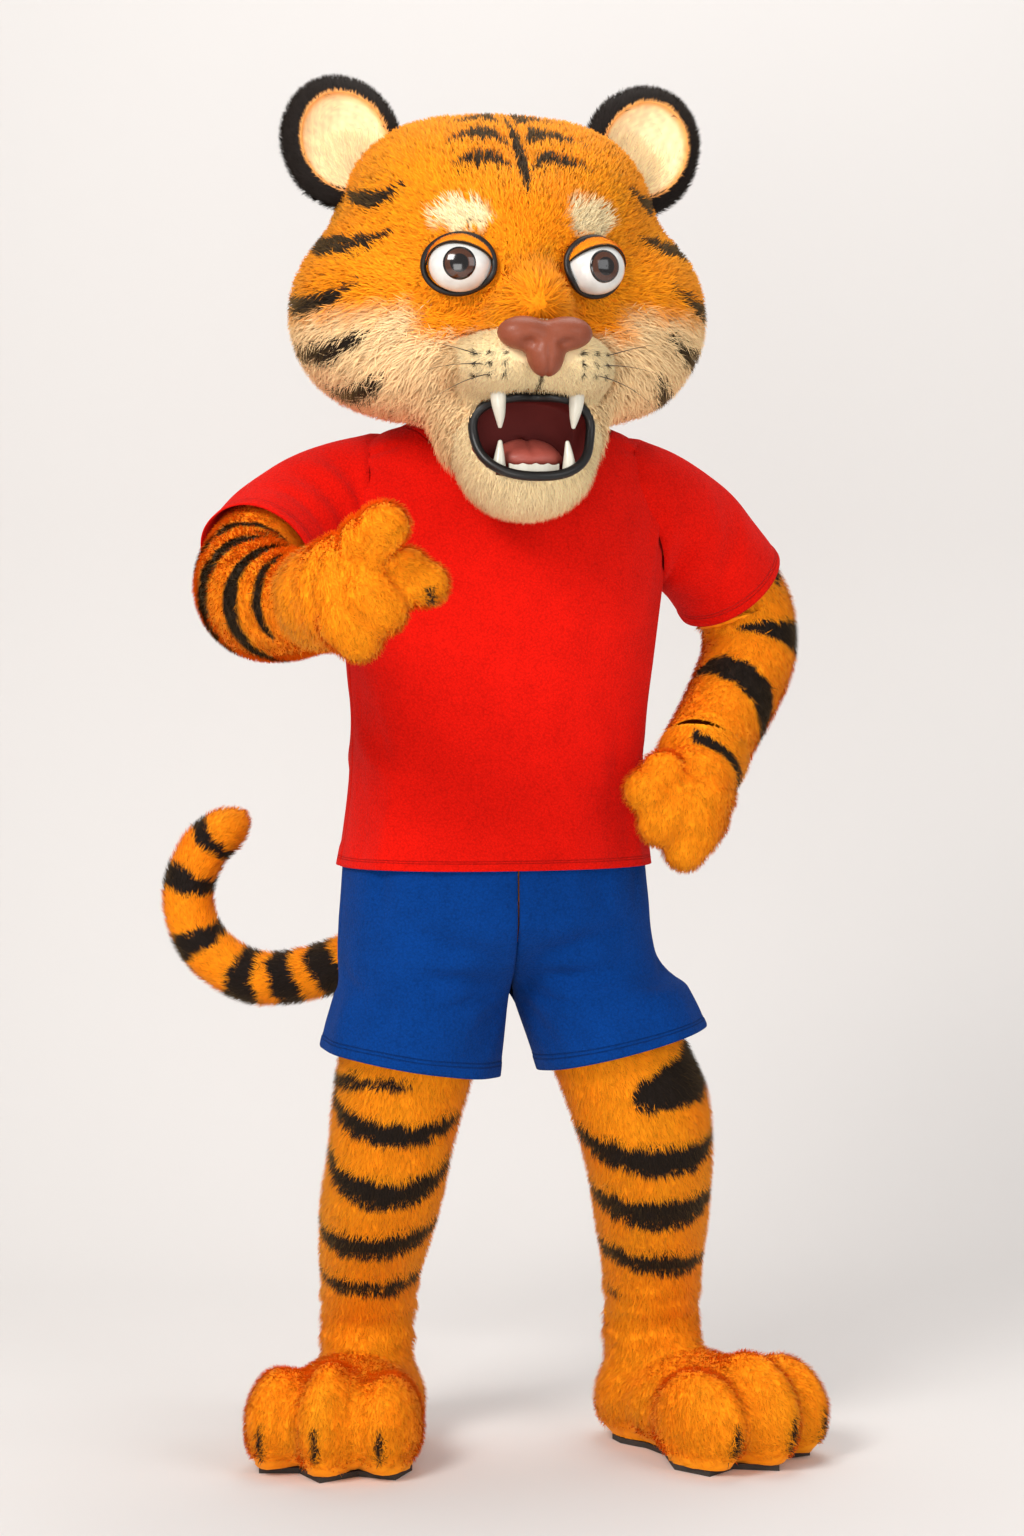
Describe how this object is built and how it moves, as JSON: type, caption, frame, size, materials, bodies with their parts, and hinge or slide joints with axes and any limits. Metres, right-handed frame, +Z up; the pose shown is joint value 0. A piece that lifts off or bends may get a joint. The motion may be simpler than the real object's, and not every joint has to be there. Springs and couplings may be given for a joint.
{
  "type": "tiger mascot costume",
  "caption": "Padded tiger costume, worn and posed with a pointing arm: furry head, suit, paws and curled tail, with T-shirt and knee shorts; hollow for the wearer.",
  "frame": {"origin": "midway between the wearer's shoulders, on the shoulder line, where the costume hangs on the wearer", "axes": "+Z up along the costume's height, -Y towards the viewer that the wearer faces, +X towards the wearer's left hand"},
  "size_m": [0.9759, 0.9627, 1.9402],
  "materials": {
    "head_fur": "long pile faux fur",
    "suit_fur": "short pile faux fur",
    "cream_fur": "long pile faux fur",
    "black_fur": "short pile faux fur",
    "red_fleece": "soft brushed fleece",
    "blue_fleece": "soft brushed fleece",
    "nose": "satin moulded pad",
    "lip": "gloss roll",
    "mouth_lining": "dark red lining",
    "tongue": "satin",
    "teeth": "gloss",
    "eye_white": "gloss",
    "iris": "gloss",
    "sole": "matt"
  },
  "bodies": {
    "root": {"head_face": "head_fur", "head_back": "head_fur", "suit_front": "suit_fur", "suit_back": "suit_fur", "arm_right": "suit_fur", "arm_left": "suit_fur", "leg_right": "suit_fur", "leg_left": "suit_fur", "tail": "suit_fur", "glove_right": "suit_fur", "glove_left": "suit_fur", "boot_right": "suit_fur", "boot_left": "suit_fur", "muzzle": "cream_fur", "jaw": "cream_fur", "inner_ear_right": "cream_fur", "inner_ear_left": "cream_fur", "ear_right": "black_fur", "ear_left": "black_fur", "shirt_front": "red_fleece", "shirt_back": "red_fleece", "sleeve_right": "red_fleece", "sleeve_left": "red_fleece", "neckband": "red_fleece", "shorts_front_right": "blue_fleece", "shorts_front_left": "blue_fleece", "shorts_back_right": "blue_fleece", "shorts_back_left": "blue_fleece", "waistband": "blue_fleece", "nose": "nose", "lip": "lip", "mouth_lining": "mouth_lining", "tongue": "tongue", "lower_teeth": "teeth", "fang_upper_right": "teeth", "fang_upper_left": "teeth", "fang_lower_right": "teeth", "fang_lower_left": "teeth", "eyeball_right": "eye_white", "eyeball_left": "eye_white", "iris_right": "iris", "iris_left": "iris", "sole_right": "sole", "sole_left": "sole"}
  },
  "joints": []
}
